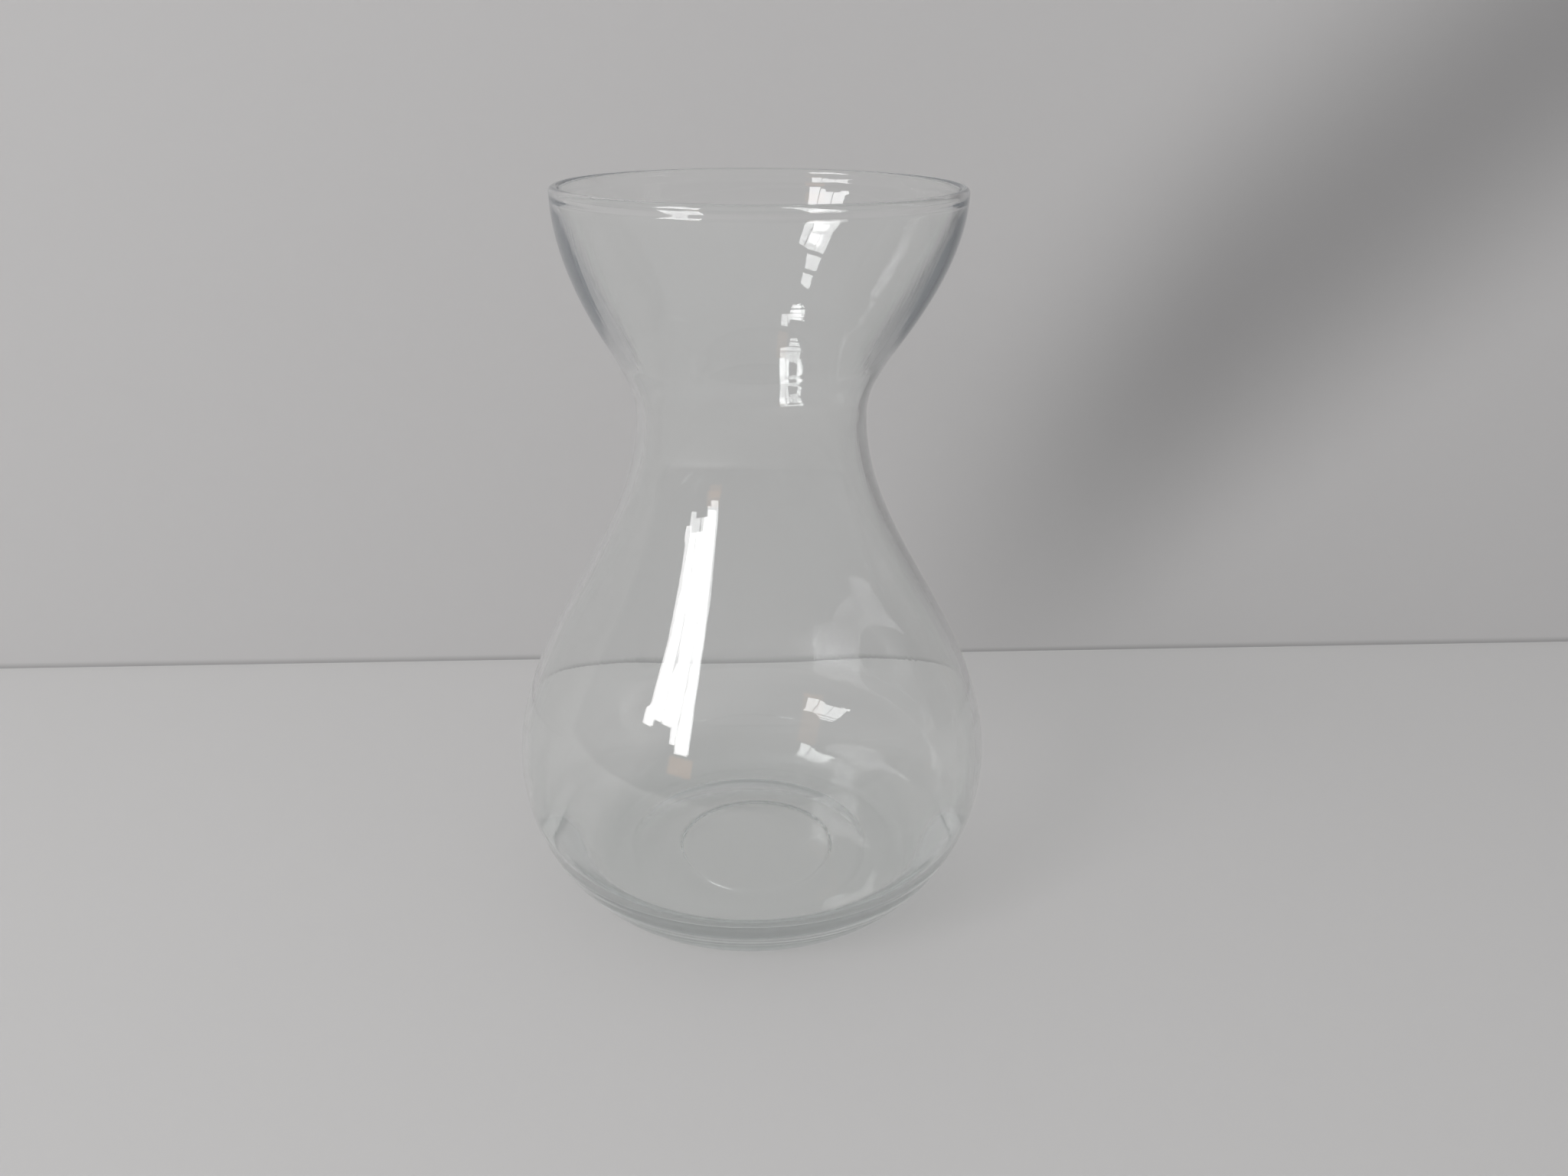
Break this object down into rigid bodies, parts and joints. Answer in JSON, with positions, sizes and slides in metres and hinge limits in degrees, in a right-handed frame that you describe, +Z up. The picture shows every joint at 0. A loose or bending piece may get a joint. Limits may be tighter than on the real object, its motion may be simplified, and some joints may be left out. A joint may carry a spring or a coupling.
{
  "type": "hyacinth forcing vase",
  "caption": "Clear glass hyacinth forcing vase: a flared bulb cup over a narrow throat and a round, heavy-bottomed body for water and roots.",
  "frame": {"origin": "middle of the foot, on the surface that the vase stands on", "axes": "+Z up along the vase's axis; X and Y are level and alike, because the vase is round"},
  "size_m": [0.1018, 0.1018, 0.15],
  "materials": {
    "clear_glass": "fire-polished, faint grey-green in its thick parts"
  },
  "bodies": {
    "root": {"glass_vase": "clear_glass"}
  },
  "joints": []
}
